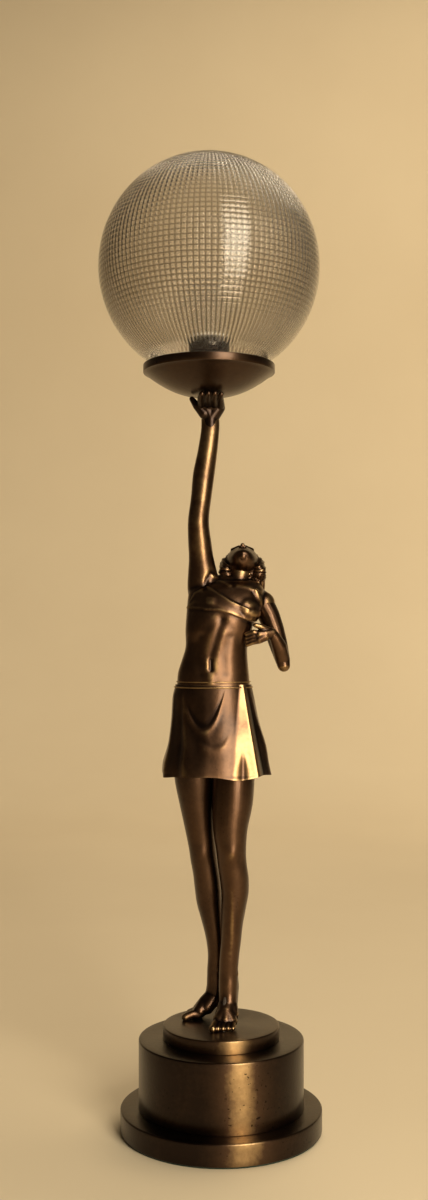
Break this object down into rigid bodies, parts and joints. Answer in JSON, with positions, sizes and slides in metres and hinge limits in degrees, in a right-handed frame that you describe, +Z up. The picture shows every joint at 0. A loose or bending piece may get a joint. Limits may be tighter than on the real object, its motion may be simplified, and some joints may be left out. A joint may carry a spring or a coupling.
{
  "type": "figural table lamp",
  "caption": "Table lamp: a bronze dancer on a stepped round base holds up a shallow dish with a prismatic glass globe over a lampholder and bulb.",
  "frame": {"origin": "middle of the base's underside, on the surface it stands on", "axes": "+Z up, -Y towards the viewer's side of the figure, +X to the viewer's right"},
  "size_m": [0.2019, 0.1998, 0.8779],
  "materials": {
    "patina_bronze": "antique brown patina, rubbed golden on the high places",
    "felt": "matt felt",
    "steel": "plated",
    "iron": "as cast",
    "rubber": "matt",
    "ceramic": "glazed",
    "brass": "turned",
    "flex": "sleeved",
    "cork": "cork",
    "bakelite": "polished dark moulding",
    "cap_metal": "rolled thread",
    "bulb_glass": "clear",
    "prismatic_glass": "clear, pressed prismatic"
  },
  "bodies": {
    "lamp": {"felt_pad": "felt", "bottom_plate": "steel", "plate_screws": "steel", "plinth": "patina_bronze", "ballast_weight": "iron", "drum": "patina_bronze", "top_disc": "patina_bronze", "tie_rod": "steel", "base_washer": "steel", "base_nut": "steel", "cable_grommet": "rubber", "terminal_block": "ceramic", "earth_terminal": "brass", "front_stud": "steel", "rear_stud": "steel", "stud_nuts": "steel", "left_leg": "patina_bronze", "right_leg": "patina_bronze", "skirt": "patina_bronze", "torso": "patina_bronze", "head": "patina_bronze", "raised_arm": "patina_bronze", "bent_arm": "patina_bronze", "lead": "flex", "dish": "patina_bronze", "nipple": "brass", "nipple_nut": "brass", "globe_gasket": "cork", "lampholder_body": "bakelite", "lampholder_skirt": "bakelite", "contact_insert": "ceramic", "screw_shell": "brass", "centre_contact": "brass"},
    "bulb": {"bulb_cap": "cap_metal", "bulb_contact": "brass", "bulb_glass": "bulb_glass", "bulb_stem": "bulb_glass"},
    "globe": {"globe": "prismatic_glass"}
  },
  "joints": [
    {"name": "globe_lift", "type": "slide", "parent": "lamp", "child": "globe", "axis": [0, 0, 1], "range_m": [0, 0.1]},
    {"name": "bulb_turn", "type": "hinge", "parent": "lamp", "child": "bulb", "pos_m": [-0.011, 0, 0.705], "axis": [0, 0, 1], "continuous": true}
  ]
}
